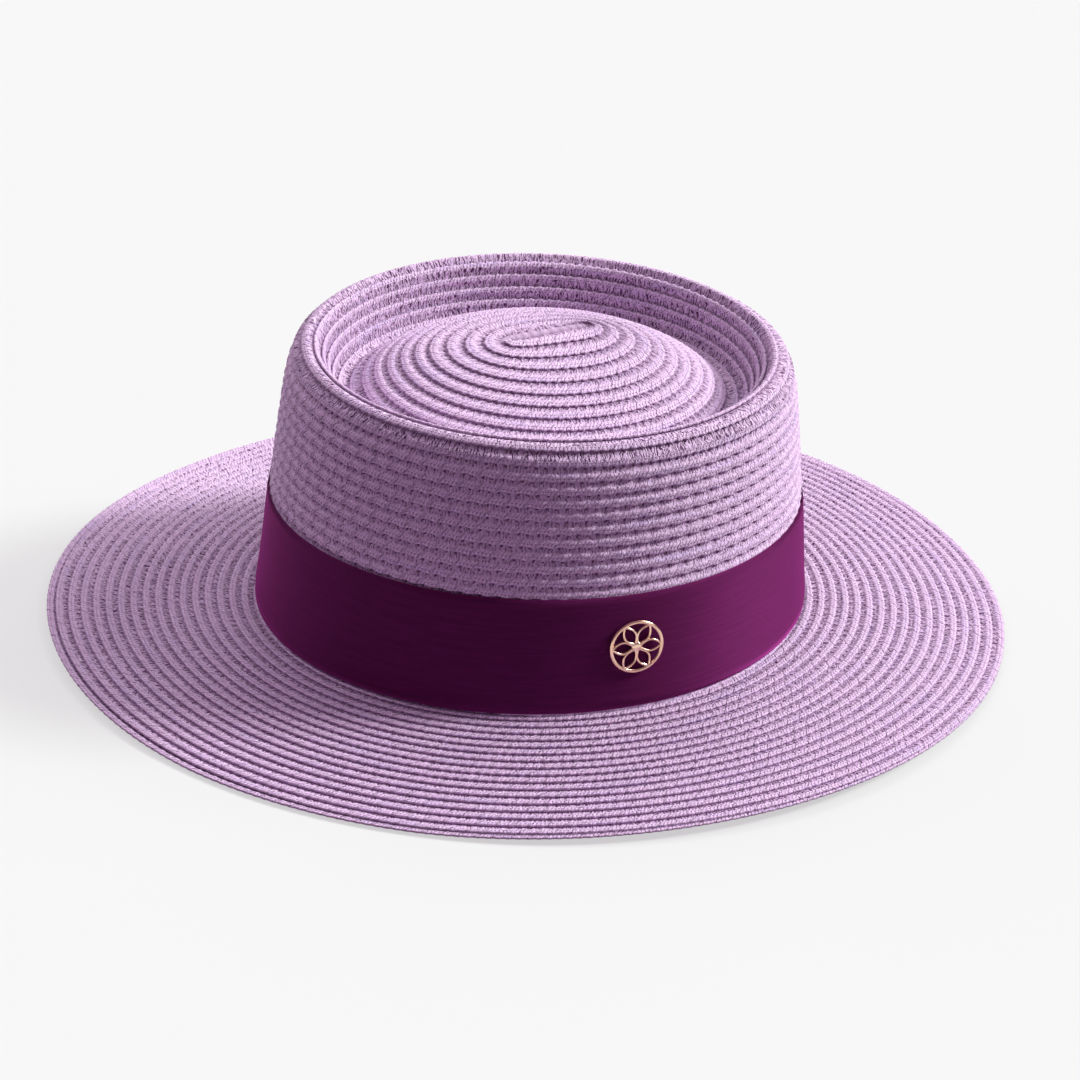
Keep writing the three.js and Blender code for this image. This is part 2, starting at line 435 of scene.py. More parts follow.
@dataclass
class BraidTape:
    """One long tape of plaited braid, laid on a surface in a lapped spiral.

    first and last are course numbers of the tape's outer edge, and begun is how many
    turns were laid before it. Steps and lobe sizes are in millimetres; lap and lobe_side
    are shares of a course.
    """

    surface: HatSurface
    first: float
    last: float
    step: float = 1.2
    start_angle: float = -math.pi / 2
    lap: float = 0.42
    lobe_length: float = 3.4
    lobe_height: float = 0.11
    lobe_side: float = 0.055
    tuck: float = 0.9
    draw_in: float = 1.1
    relief: float = 1.0
    begun: float = 0.0
    ease_last: bool = False
    coarse_after: float = 1e9
    coarse_step: float = 4.0
    walk_per_turn: int = 480

    def path(self) -> tuple[np.ndarray, np.ndarray, np.ndarray]:
        """Walks the tape's outer edge in even steps.

        Returns:
            Turns made, the edge's course number and the distance walked in millimetres.
        """
        count = math.ceil(self.walk_per_turn * (self.last - self.first))
        turns = np.linspace(0, self.last - self.first, count)
        course = self.edge_course(turns)
        points = self.surface.point(course, self.angle_at(turns))
        lengths = np.append(0, np.cumsum(np.linalg.norm(np.diff(points, axis=0), axis=1)))
        step = np.where(course > self.coarse_after, self.coarse_step, self.step)
        steps = np.append(0, np.cumsum(np.diff(lengths) / step[1:]))
        at = np.interp(np.linspace(0, steps[-1], math.ceil(steps[-1]) + 1), steps, turns)
        return at, self.edge_course(at), np.interp(at, turns, lengths)

    def angle_at(self, turns: np.ndarray) -> np.ndarray:
        """Angle round the hat; a later length goes on where the one before it ended."""
        return self.start_angle + 2 * math.pi * (turns + self.begun)

    def edge_course(self, turns: np.ndarray) -> np.ndarray:
        """Tells where the outer edge is; the last round of a hem is drawn in.

        Args:
            turns: turns made since the tape's start.

        Returns:
            The outer edge's course numbers.
        """
        course = self.first + turns
        if not self.ease_last:
            return course
        return course - self.draw_in * self.last_round(turns) ** 2

    def last_round(self, turns: np.ndarray) -> np.ndarray:
        """Share of the last round that has been laid."""
        return np.clip(self.first + turns - (self.last - 1), 0, 1)

    def build(self, name: str) -> bpy.types.Object:
        """Lays the tape and makes its mesh.

        Args:
            name: the piece's name.

        Returns:
            The tape as one closed piece.
        """
        turns, edge, along = self.path()
        columns = len(BRAID_LOOP) - 1
        mesh = MeshPiece.grid(columns, len(turns) - 1)
        right, forward = MeshPiece.shares(mesh)
        column = np.rint(right * columns).astype(int)
        line = np.rint(forward * (len(turns) - 1)).astype(int)
        across, height, wave, scallop = (
            np.array([getattr(row, key) for row in BRAID_LOOP])[column]
            for key in ("across", "height", "wave", "scallop")
        )
        phase = 2 * math.pi * (along[line] / self.lobe_length + across * 0.8)
        course = edge[line] - (1 - across) * (1 + self.lap)
        course = course + self.lobe_side * scallop * np.sin(phase)
        height = height + self.lobe_height * wave * np.sin(phase + 1.2)
        if self.first < 1:
            course, height = self.close_middle(course, height, edge[line])
            height = height + self.folded_end(along[line])
        height = np.where(height > DEEPEST_RELIEF, height * self.relief, height)
        if self.ease_last:
            height = height - self.tuck * np.minimum(1, self.last_round(turns)[line] * 9)
        self.surface.cover(mesh, course, self.angle_at(turns)[line], height)
        self.mark(mesh, along)
        return MeshPiece.close(mesh, name)

    @staticmethod
    def folded_end(walked: np.ndarray) -> np.ndarray:
        """Height that the tape's turned-under first end adds, in millimetres."""
        return np.exp(-((walked / 2.6) ** 2)) * (0.75 - 0.9 * np.exp(-walked / 0.6))

    def close_middle(
        self, course: np.ndarray, height: np.ndarray, edge: np.ndarray
    ) -> tuple[np.ndarray, np.ndarray]:
        """Folds what would pass the middle line of the tip down along it.

        Args:
            course: course number of each point.
            height: height of each point over the surface, in millimetres.
            edge: course number of the tape's outer edge beside each point.

        Returns:
            The course numbers and heights, with no point past the middle.
        """
        lowest = 0.03
        crossing = 1 - (edge - lowest) / (1 + self.lap)
        shares = [row.across for row in BRAID_TOP]
        heights = np.interp(crossing, shares, [row.height for row in BRAID_TOP])
        folded = (course < lowest) & (height > DEEPEST_RELIEF)
        height = np.where(folded, heights - 0.4 * (lowest - course), height)
        return np.maximum(course, lowest), height

    @staticmethod
    def mark(mesh: bpy.types.Mesh, along: np.ndarray) -> None:
        """Sets the UV map to millimetres along the tape and the share across it.

        Args:
            mesh: the grid, with UVs from 0 to 1.
            along: distance walked at each line of the grid, in millimetres.
        """
        right, forward = MeshPiece.corners(mesh)
        shares = np.array([row.across for row in BRAID_LOOP])
        shares[len(BRAID_TOP) :] = 2 - shares[len(BRAID_TOP) :]
        column = np.rint(right * (len(BRAID_LOOP) - 1)).astype(int)
        line = np.rint(forward * (len(along) - 1)).astype(int)
        MeshPiece.map_uv(mesh, along[line], shares[column])


class Nodes:
    """Short calls for building a material's nodes."""

    def __init__(self, name: str) -> None:
        """Starts a material with only its output and a Principled shader.

        Args:
            name: the material's name.
        """
        self.material = bpy.data.materials.new(name)
        self.material.use_nodes = True
        self.tree = self.material.node_tree
        self.tree.nodes.clear()
        self.output = self.tree.nodes.new("ShaderNodeOutputMaterial")
        self.shader = self.tree.nodes.new("ShaderNodeBsdfPrincipled")
        self.link(self.shader.outputs[0], self.output.inputs["Surface"])

    def link(self, start: Socket, end: Socket) -> None:
        """Joins two sockets."""
        self.tree.links.new(start, end)

    def feed(self, socket: Socket, value: Value) -> None:
        """Sets a socket.

        Args:
            socket: the socket to set.
            value: a number, a colour or another socket.
        """
        if isinstance(value, Socket):
            self.link(value, socket)
        else:
            socket.default_value = value

    def math(self, operation: str, *values: Value) -> Socket:
        """Adds a Math node.

        Args:
            operation: the node's operation.
            values: numbers or sockets, in order.

        Returns:
            The node's result.
        """
        node = self.tree.nodes.new("ShaderNodeMath")
        node.operation = operation
        for socket, value in zip(node.inputs, values):
            self.feed(socket, value)
        return node.outputs[0]

    def times(self, first: Value, second: Value) -> Socket:
        """Multiplies two numbers."""
        return self.math("MULTIPLY", first, second)

    def plus(self, first: Value, second: Value) -> Socket:
        """Adds two numbers."""
        return self.math("ADD", first, second)

    def minus(self, first: Value, second: Value) -> Socket:
        """Takes the second number from the first."""
        return self.math("SUBTRACT", first, second)

    def larger(self, first: Value, second: Value) -> Socket:
        """Returns the larger of two numbers."""
        return self.math("MAXIMUM", first, second)

    def cycle(self, distance: Value, pitch: float) -> Socket:
        """Returns how far into its repeat a pattern is, from 0 to 1."""
        return self.math("FRACT", self.math("DIVIDE", distance, pitch))

    def wave(self, distance: Value, pitch: float) -> Socket:
        """Returns a sine wave of the given length."""
        return self.math("SINE", self.times(distance, 2 * math.pi / pitch))

    def band(self, value: Value, low: float, high: float, soft: float) -> Socket:
        """Returns 1 between low and high and 0 outside, with soft edges.

        Args:
            value: the socket to test.
            low: where the band starts.
            high: where it ends.
            soft: width of each edge.

        Returns:
            The band's strength.
        """
        rise = self.ramp(value, low - soft, low + soft)
        fall = self.ramp(value, high - soft, high + soft)
        return self.minus(rise, fall)

    def ramp(self, value: Value, low: float, high: float) -> Socket:
        """Adds a smooth step.

        Args:
            value: the number to test.
            low: where the step starts.
            high: where it ends.

        Returns:
            0 below low, 1 above high and a smooth rise between.
        """
        node = self.tree.nodes.new("ShaderNodeMapRange")
        node.interpolation_type = "SMOOTHSTEP"
        self.feed(node.inputs["Value"], value)
        node.inputs["From Min"].default_value = low
        node.inputs["From Max"].default_value = high
        return node.outputs[0]

    def mix(self, factor: Value, start: Value, end: Value) -> Socket:
        """Mixes two colours.

        Args:
            factor: share of the second colour.
            start: the first colour, a tuple or a socket.
            end: the second colour, a tuple or a socket.

        Returns:
            The mixed colour.
        """
        node = self.tree.nodes.new("ShaderNodeMix")
        node.data_type = "RGBA"
        self.feed(node.inputs["Factor"], factor)
        self.feed(node.inputs[6], start if not isinstance(start, tuple) else (*start, 1))
        self.feed(node.inputs[7], end if not isinstance(end, tuple) else (*end, 1))
        return node.outputs[2]

    def noise(self, vector: Socket, scale: float, detail: float = 2.0) -> Socket:
        """Adds a noise texture.

        Args:
            vector: the place that the noise is read at.
            scale: how fine the noise is.
            detail: how many finer layers it has.

        Returns:
            The noise's strength, from 0 to 1.
        """
        node = self.tree.nodes.new("ShaderNodeTexNoise")
        self.link(vector, node.inputs["Vector"])
        node.inputs["Scale"].default_value = scale
        node.inputs["Detail"].default_value = detail
        return node.outputs["Fac"]

    def vector(self, x: Value, y: Value, z: Value = 0.0) -> Socket:
        """Combines three numbers.

        Args:
            x, y, z: the numbers, or sockets that give them.

        Returns:
            The vector.
        """
        node = self.tree.nodes.new("ShaderNodeCombineXYZ")
        for socket, value in zip(node.inputs, (x, y, z)):
            self.feed(socket, value)
        return node.outputs[0]

    def braid_place(self) -> tuple[Socket, Socket]:
        """Reads the piece's own UV map.

        Returns:
            The distance along the tape and the place across it.
        """
        node = self.tree.nodes.new("ShaderNodeUVMap")
        node.uv_map = "braid"
        split = self.tree.nodes.new("ShaderNodeSeparateXYZ")
        self.link(node.outputs[0], split.inputs[0])
        return split.outputs[0], split.outputs[1]

    def object_place(self) -> Socket:
        """Returns the piece's own coordinates."""
        return self.tree.nodes.new("ShaderNodeTexCoord").outputs["Object"]

    def bump(self, height: Socket, strength: float, distance: float) -> None:
        """Adds a bump to the shader.

        Args:
            height: the relief to follow.
            strength: share of the relief that shows.
            distance: height of the relief in metres.
        """
        node = self.tree.nodes.new("ShaderNodeBump")
        node.inputs["Strength"].default_value = strength
        node.inputs["Distance"].default_value = distance
        self.link(height, node.inputs["Height"])
        self.link(node.outputs[0], self.shader.inputs["Normal"])


@dataclass(frozen=True)
class StrawFinish:
    """Lilac paper straw: two twisted ribs by the outer edge and an open mesh beside them, with
    painted shade in its gaps, holes, creases and groove and painted highlights along its strands.

    Places across the braid are shares of its width; lengths are in millimetres.
    """

    name: str = "paper_straw"
    # strength of the painted shade in the mesh gaps
    hatches: float = 0.80
    holes_shade: float = 0.85
    # strength of the painted shade at the lobe ends
    lobes: float = 0.5
    # strength of the painted shade in the groove and at the braid's outer edge
    groove_shade_strength: float = 1.0
    mesh_end: float = 0.61
    straw: tuple[float, float, float] = (0.80, 0.585, 0.84)
    # colour of the painted shade in the gaps, holes, stitch dips, rib creases, lobe ends and
    # groove
    shade_colour: tuple[float, float, float] = (0.105, 0.028, 0.10)
    # colour of the painted highlights along the strands
    pale: tuple[float, float, float] = (0.96, 0.80, 0.98)
    cool: tuple[float, float, float] = (0.56, 0.46, 0.80)
    warm: tuple[float, float, float] = (0.80, 0.46, 0.72)
    braid_width: float = 6.6
    hatch_pitch: float = 1.15
    mesh_depth: float = 2.2
    hole_pitch: float = 3.4
    lobe_pitch: float = 5.8
    twist_pitch: float = 1.35
    roughness: float = 0.60

    def material(self) -> bpy.types.Material:
        """Builds the straw's nodes.

        Returns:
            The finished material.
        """
        n = Nodes(self.name)
        along, marked = n.braid_place()
        across = n.minus(1.0, n.math("ABSOLUTE", n.minus(marked, 1.0)))
        across_mm = n.times(across, self.braid_width)
        sway = n.noise(n.vector(n.times(along, 0.3), across_mm), 1.0, 1.0)
        walked = n.plus(along, n.times(sway, 1.6))

        # painted shade in the mesh gaps
        gap = n.times(self.mesh_gaps(n, walked, across), self.hatches)
        # painted shade in the holes along the groove
        hole = n.times(self.holes(n, walked, across), self.holes_shade)
        twist, lobe, stitch = self.ribs(n, walked, along, across, across_mm)

        patch = n.noise(n.vector(n.times(along, 0.06), across_mm), 0.6, 2.0)
        fleck = n.noise(n.vector(n.times(along, 1.2), across_mm), 1.1, 2.0)
        colour = n.mix(n.times(n.ramp(patch, 0.50, 0.72), 0.45), self.straw, self.cool)
        colour = n.mix(n.times(n.ramp(fleck, 0.52, 0.75), 0.40), colour, self.warm)
        # paler streaks at random along the strands: painted highlights on the strand crests
        strand = n.noise(n.vector(n.times(along, 1.7), across_mm), 1.3, 1.0)
        colour = n.mix(n.times(n.ramp(strand, 0.50, 0.62), 0.8), colour, self.pale)
        # painted shade: the gaps, holes, stitch dips, rib creases, lobe ends and groove darken
        # the straw towards the shade colour
        dark = n.larger(gap, hole)
        # painted shade in the stitch dips, the rib creases and at the lobe ends
        dark = n.larger(dark, n.times(stitch, 0.50))
        dark = n.larger(dark, n.times(twist, 0.26))
        dark = n.larger(dark, n.times(lobe, self.lobes))
        dark = n.larger(dark, self.painted_groove_shade(n, walked, across))
        colour = n.mix(dark, colour, self.shade_colour)
        n.link(colour, n.shader.inputs["Base Color"])
        n.shader.inputs["Roughness"].default_value = self.roughness
        n.shader.inputs["Specular IOR Level"].default_value = 0.15

        dips = n.plus(gap, n.times(hole, 1.2))
        dips = n.plus(dips, n.times(stitch, 0.8))
        dips = n.plus(dips, n.times(twist, 0.5))
        dips = n.plus(dips, n.times(lobe, 1.1))
        n.bump(n.minus(n.times(fleck, 0.5), dips), 1.0, 0.35 * MM)
        return n.material

    def painted_groove_shade(self, n: Nodes, walked: Socket, across: Socket) -> Socket:
        """Painted shade down in the groove between courses and round the braid's outer edge.

        Args:
            n: the material's nodes.
            walked: distance along the braid.
            across: share across the braid.

        Returns:
            How strong the painted shade is, from 0 to 1.
        """
        # painted shade in the groove, stronger every hole pitch, and on the outer edge
        wave = n.wave(walked, self.hole_pitch)
        amount = n.plus(n.times(wave, 0.17 * self.groove_shade_strength), 0.42 * self.groove_shade_strength)
        groove = n.minus(1.0, n.ramp(across, 0.42, 0.66))
        edge = n.times(n.ramp(across, 0.91, 1.0), 0.5 * self.groove_shade_strength)
        return n.larger(n.times(groove, amount), edge)

    def mesh_gaps(self, n: Nodes, walked: Socket, across: Socket) -> Socket:
        """Gaps between the threads that cross the open part in a zigzag, painted dark for the
        shade seen through them.

        Args:
            n: the material's nodes.
            walked: distance along the braid.
            across: share across the braid.

        Returns:
            How dark the gap is, from 0 to 1.
        """
        down = n.times(n.minus(across, 0.29), self.mesh_depth / 0.34)
        open_part = n.band(across, 0.27, self.mesh_end, 0.035)
        lean = n.noise(n.vector(n.times(walked, 0.45), 0.0), 1.0, 1.0)
        lean = n.times(n.minus(lean, 0.5), 2.4)
        slant = n.plus(walked, n.times(down, lean))
        place = n.cycle(slant, self.hatch_pitch)
        clear = n.band(place, 0.30, 0.72, 0.14)
        uneven = n.noise(n.vector(walked, n.times(across, 5.0)), 0.75, 2.0)
        strength = n.times(n.ramp(uneven, 0.34, 0.58), clear)
        return n.times(strength, open_part)

    def holes(self, n: Nodes, walked: Socket, across: Socket) -> Socket:
        """Small holes in a row along the groove between two courses, painted dark for the shade
        inside them.

        Args:
            n: the material's nodes.
            walked: distance along the braid.
            across: share across the braid.

        Returns:
            How dark the hole is, from 0 to 1.
        """
        place = n.cycle(walked, self.hole_pitch)
        off = n.times(n.minus(place, 0.5), self.hole_pitch)
        down = n.times(n.minus(across, 0.37), self.braid_width)
        slanted = n.plus(off, n.times(down, 0.35))
        reach = n.plus(n.times(slanted, slanted), n.times(down, down))
        return n.minus(1.0, n.ramp(reach, 0.05, 0.38))

    def ribs(
        self,
        n: Nodes,
        walked: Socket,
        along: Socket,
        across: Socket,
        across_mm: Socket,
    ) -> tuple[Socket, Socket, Socket]:
        """Creases of the two twisted ribs, ends of the lobes and the stitches between the ribs,
        along which the straw is darkened as painted shade.

        Args:
            n: the material's nodes.
            walked: distance along the braid with its sway.
            along: even distance along the braid.
            across: share across the braid.
            across_mm: distance across the braid.

        Returns:
            Strength of the creases, of the ends of the lobes and of the stitches.
        """
        slant = n.plus(walked, n.times(across_mm, 0.55))
        place = n.cycle(slant, self.twist_pitch)
        on_rib = n.band(across, 0.62, 1.02, 0.02)
        crease = n.times(n.band(place, 0.36, 0.60, 0.12), on_rib)
        long_slant = n.plus(walked, n.times(across_mm, 0.9))
        lobe = n.cycle(long_slant, self.lobe_pitch)
        lobe = n.times(n.band(lobe, 0.44, 0.54, 0.05), on_rib)
        dots = n.cycle(along, self.twist_pitch)
        row = n.band(across, 0.785, 0.84, 0.012)
        return crease, lobe, n.times(n.band(dots, 0.30, 0.68, 0.10), row)


@dataclass(frozen=True)
class RibbonFinish:
    """Deep plum ribbon with a fine crosswise weave and a soft sheen."""

    colour: tuple[float, float, float] = (0.088, 0.009, 0.059)
    roughness: float = 0.72
    metallic: float = 0.5
    sheen: float = 0.6
    weave_pitch: float = 0.55

    def material(self) -> bpy.types.Material:
        """Builds the ribbon's nodes.

        Returns:
            The finished material.
        """
        n = Nodes("plum_ribbon")
        along, across = n.braid_place()
        ribs = n.wave(along, self.weave_pitch)
        rows = n.wave(across, self.weave_pitch)
        weave = n.times(ribs, rows)
        cloud = n.noise(n.vector(n.times(along, 0.05), across), 1.0, 3.0)
        light = tuple(min(1.0, c * 1.25) for c in self.colour)
        colour = n.mix(n.ramp(cloud, 0.3, 0.7), self.colour, light)
        n.link(colour, n.shader.inputs["Base Color"])
        n.shader.inputs["Roughness"].default_value = self.roughness
        n.shader.inputs["Metallic"].default_value = self.metallic
        n.shader.inputs["Anisotropic"].default_value = 0.85
        n.shader.inputs["Anisotropic Rotation"].default_value = 0.25
        n.shader.inputs["Sheen Weight"].default_value = self.sheen
        n.shader.inputs["Sheen Roughness"].default_value = 0.4
        n.shader.inputs["Sheen Tint"].default_value = (0.85, 0.10, 0.60, 1)
        n.shader.inputs["Specular Tint"].default_value = (0.75, 0.10, 0.55, 1)
        n.bump(weave, 0.35, 0.05 * MM)
        return n.material


@dataclass(frozen=True)
class GoldFinish:
    """Polished pale rose gold."""

    colour: tuple[float, float, float] = (0.86, 0.58, 0.40)
    roughness: float = 0.22

    def material(self) -> bpy.types.Material:
        """Builds the metal's nodes.

        Returns:
            The finished material.
        """
        n = Nodes("rose_gold")
        smear = n.noise(n.object_place(), 260.0, 2.0)
        worn = n.mix(n.ramp(smear, 0.45, 0.8), self.colour, (0.93, 0.70, 0.52))
        n.link(worn, n.shader.inputs["Base Color"])
        n.shader.inputs["Metallic"].default_value = 1.0
        n.shader.inputs["Roughness"].default_value = self.roughness
        n.bump(smear, 0.05, 0.05 * MM)
        return n.material


@dataclass(frozen=True)
class FloorFinish:
    """Plain pale studio floor that glows a little, as a lit white table does."""

    colour: tuple[float, float, float] = (0.28, 0.296, 0.28)
    glow: float = 0.565

    def material(self) -> bpy.types.Material:
        """Builds the floor's nodes.

        Returns:
            The finished material.
        """
        n = Nodes("studio_floor")
        n.shader.inputs["Base Color"].default_value = (*self.colour, 1)
        n.shader.inputs["Roughness"].default_value = 0.9
        n.shader.inputs["Specular IOR Level"].default_value = 0.0
        n.shader.inputs["Emission Color"].default_value = (1, 1, 1, 1)
        n.shader.inputs["Emission Strength"].default_value = self.glow
        return n.material


def dress(piece: bpy.types.Object, material: bpy.types.Material) -> None:
    """Gives a piece its material and ties it to the hat.

    Args:
        piece: the new piece.
        material: its finish.
    """
    piece.data.materials.clear()
    piece.data.materials.append(material)
    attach(piece, "root")


@dataclass
class StrawCrown:
    """The crown's braid in three lengths: the tip, the recess with the rim, and the side.

    The braid starts at course number first. It is laid more coarsely where the band hides
    it, from under_band courses below the height band_top, in millimetres.
    """

    surface: CrownSurface = field(default_factory=CrownSurface)
    first: float = 0.62
    band_top: float = 52.0
    under_band: float = 1.2
    step: float = 1.05

    def join_at(self, row: str) -> float:
        """Returns the half course by a row of the section, where two lengths meet."""
        return math.floor(self.surface.course_of(self.surface.section.place_of(row))) + 0.5

    def build(self) -> list[bpy.types.Object]:
        """Lays the crown's braid.

        Returns:
            The three lengths of braid.
        """
        moat = self.join_at("moat")
        shoulder = self.join_at("shoulder")
        hidden = float(self.surface.course_at_height(self.band_top)) + self.under_band
        tip = BraidTape(self.surface, self.first, moat, step=self.step, relief=0.72)
        rim = BraidTape(self.surface, moat, shoulder, step=self.step, begun=moat - self.first)
        side = BraidTape(
            self.surface,
            shoulder,
            self.surface.last + PAST_END,
            step=self.step,
            lobe_length=6.6,
            lobe_height=0.24,
            begun=shoulder - self.first,
            ease_last=True,
            coarse_after=hidden,
        )
        tip_straw = StrawFinish("tip_straw", hatches=0.75, lobes=0.2, groove_shade_strength=0.75)
        rim_straw = StrawFinish(
            "rim_straw", hatches=1.0, holes_shade=0.6, lobes=0.2, groove_shade_strength=0.6, mesh_end=0.74
        )
        side_straw = StrawFinish(
            "side_straw", hatches=0.68, lobes=0.34, groove_shade_strength=0.3, lobe_pitch=6.6
        )
        lengths = (
            ("crown_tip_braid", tip, tip_straw),
            ("crown_rim_braid", rim, rim_straw),
            ("crown_side_braid", side, side_straw),
        )
        pieces = []
        for name, tape, finish in lengths:
            piece = tape.build(name)
            dress(piece, finish.material())
            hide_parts("crown")
            pieces.append(piece)
        return pieces


@dataclass
class StrawBrim:
    """The brim's braid in two lengths, from under the band to the tucked last round.

    first and middle are the course numbers that the two lengths start at.
    """

    surface: BrimSurface = field(default_factory=BrimSurface)
    first: float = 0.6
    middle: float = 10.6
    step: float = 1.0

    def build(self) -> list[bpy.types.Object]:
        """Lays the brim's braid.

        Returns:
            The two lengths of braid.
        """
        straw = StrawFinish("brim_straw", hatches=1.0, holes_shade=0.8, lobes=0.15, groove_shade_strength=0.45)
        material = straw.material()
        inner = BraidTape(self.surface, self.first, self.middle, step=self.step)
        outer = BraidTape(
            self.surface,
            self.middle,
            self.surface.courses + PAST_END,
            step=self.step,
            lobe_side=0.03,
            begun=self.middle - self.first,
            ease_last=True,
        )
        pieces = []
        for name, tape in (("brim_inner_braid", inner), ("brim_outer_braid", outer)):
            piece = tape.build(name)
            dress(piece, material)
            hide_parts("brim")
            pieces.append(piece)
        return pieces


@dataclass
class RibbonBand:
    """The ribbon round the crown, its end lapped over its start.

    Lengths are in millimetres and angles in radians. Each of the swells, slight waves in
    the cloth, has a height, a number of waves round the crown and a start.
    """

    surface: CrownSurface = field(default_factory=CrownSurface)
    length: float = 615.0
    bottom: float = 10.2
    top: float = 53.5
    bottom_tilt: float = 2.7
    top_tilt: float = 1.2
    thickness: float = 0.40
    gap: float = 0.20
    lap_gap: float = 0.20
    lap_start: float = math.radians(187.5)
    lap_length: float = math.radians(15)
    lap_rise: float = math.radians(5)
    swells: tuple[tuple[float, float, float], ...] = ((0.10, 5.0, 0.7), (0.06, 11.0, 2.0))
    around: int = 480
    up: int = 14

    def build(self, cloth: bpy.types.Material) -> bpy.types.Object:
        """Wraps the ribbon.

        Args:
            cloth: the ribbon finish.

        Returns:
            The ribbon.
        """
        columns = self.up * 2
        mesh = MeshPiece.grid(columns, self.around)
        across, along = MeshPiece.shares(mesh)
        column = np.rint(across * columns).astype(int)
        share = 1 - np.abs(column / self.up - 1)
        turn = along * (2 * math.pi + self.lap_length)
        angle = self.lap_start + turn
        rise = np.clip((turn - 2 * math.pi + self.lap_rise) / self.lap_rise, 0, 1)
        rise = rise * rise * (3 - 2 * rise)
        low = self.bottom + self.bottom_tilt * np.sin(angle)
        high = self.top + self.top_tilt * np.sin(angle)
        course = self.surface.course_at_height(low + (high - low) * share)
        waves = sum(size * np.sin(count * angle + start) for size, count, start in self.swells)
        lift = self.gap + rise * (self.thickness + self.lap_gap)
        lift = lift + waves * np.sin(math.pi * share)
        edge = np.minimum(1, np.minimum(share, 1 - share) * self.up)
        face = np.where(column <= self.up, self.thickness * (0.25 + 0.75 * edge), 0.0)
        self.surface.cover(mesh, course, angle, lift + face)
        corner_across, corner_along = MeshPiece.corners(mesh)
        round_section = 2 * (self.top - self.bottom)
        MeshPiece.map_uv(mesh, corner_along * self.length, corner_across * round_section)
        piece = MeshPiece.close(mesh, "ribbon")
        dress(piece, cloth)
        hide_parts("ribbon_band")
        return piece


